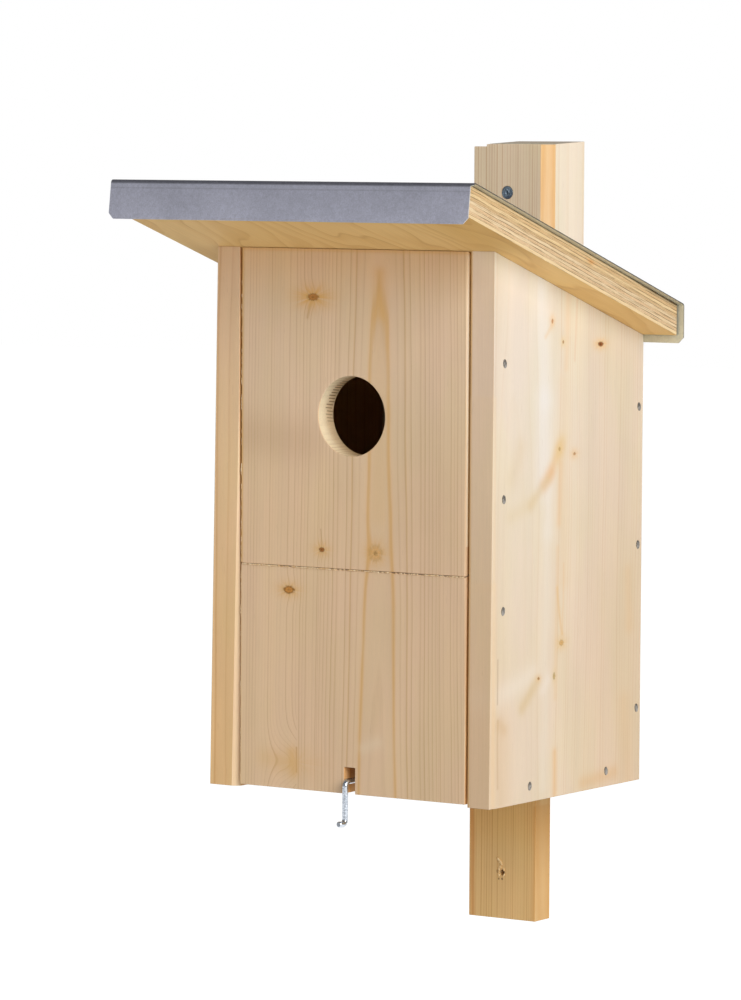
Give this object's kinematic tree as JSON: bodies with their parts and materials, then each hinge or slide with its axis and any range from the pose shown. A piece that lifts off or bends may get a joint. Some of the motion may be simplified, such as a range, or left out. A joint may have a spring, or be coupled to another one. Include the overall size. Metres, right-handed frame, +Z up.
{
  "type": "starling nest box",
  "caption": "Wooden bird nest box with a round entrance, a sheet-covered sloping roof, a swing-out cleaning flap locked by a turn hook, and a rear batten to hang it by.",
  "frame": {"origin": "middle of the spacer block's back face, which rests on the tree", "axes": "+Y into the tree, -Y out of the box's front, +Z up, +X to the right of someone looking along +Y"},
  "size_m": [0.2566, 0.2966, 0.4892],
  "materials": {
    "spruce": "planed, untreated",
    "spruce_pale": "planed, untreated",
    "plywood": "sawn edge, bare faces",
    "zinc_sheet": "dull galvanised",
    "zinc_wire": "bright zinc plated",
    "nail_steel": "bare wire nail",
    "zinc_screw": "zinc plated"
  },
  "bodies": {
    "box": {"side_wall_left": "spruce_pale", "side_wall_right": "spruce_pale", "back_wall": "spruce", "floor_board": "spruce", "front_panel": "spruce", "roof_board": "plywood", "roof_sheet": "zinc_sheet", "hanging_batten": "spruce", "spacer_block": "spruce_pale", "front_nail_upper_left": "nail_steel", "front_nail_upper_right": "nail_steel", "front_nail_lower_left": "nail_steel", "front_nail_lower_right": "nail_steel", "pivot_nail_left": "nail_steel", "pivot_nail_right": "nail_steel", "floor_nail_front_left": "nail_steel", "floor_nail_front_right": "nail_steel", "floor_nail_rear_left": "nail_steel", "floor_nail_rear_right": "nail_steel", "back_nail_top_left": "nail_steel", "back_nail_top_right": "nail_steel", "back_nail_middle_left": "nail_steel", "back_nail_middle_right": "nail_steel", "back_nail_bottom_left": "nail_steel", "back_nail_bottom_right": "nail_steel", "block_screw_upper": "zinc_screw", "block_screw_lower": "zinc_screw", "batten_screw_upper": "zinc_screw", "batten_screw_lower": "zinc_screw", "roof_screw_left_front": "zinc_screw", "roof_screw_left_rear": "zinc_screw", "roof_screw_right_front": "zinc_screw", "roof_screw_right_rear": "zinc_screw"},
    "flap": {"front_flap": "spruce"},
    "hook": {"latch_hook": "zinc_wire"}
  },
  "joints": [
    {"name": "flap_swing", "type": "hinge", "parent": "box", "child": "flap", "pos_m": [0, -0.214, -0.2157], "axis": [-1, 0, 0], "range_deg": [0, 110]},
    {"name": "hook_turn", "type": "hinge", "parent": "box", "child": "hook", "pos_m": [0, -0.2304, -0.3227], "axis": [0, 1, 0], "range_deg": [0, 180]}
  ]
}
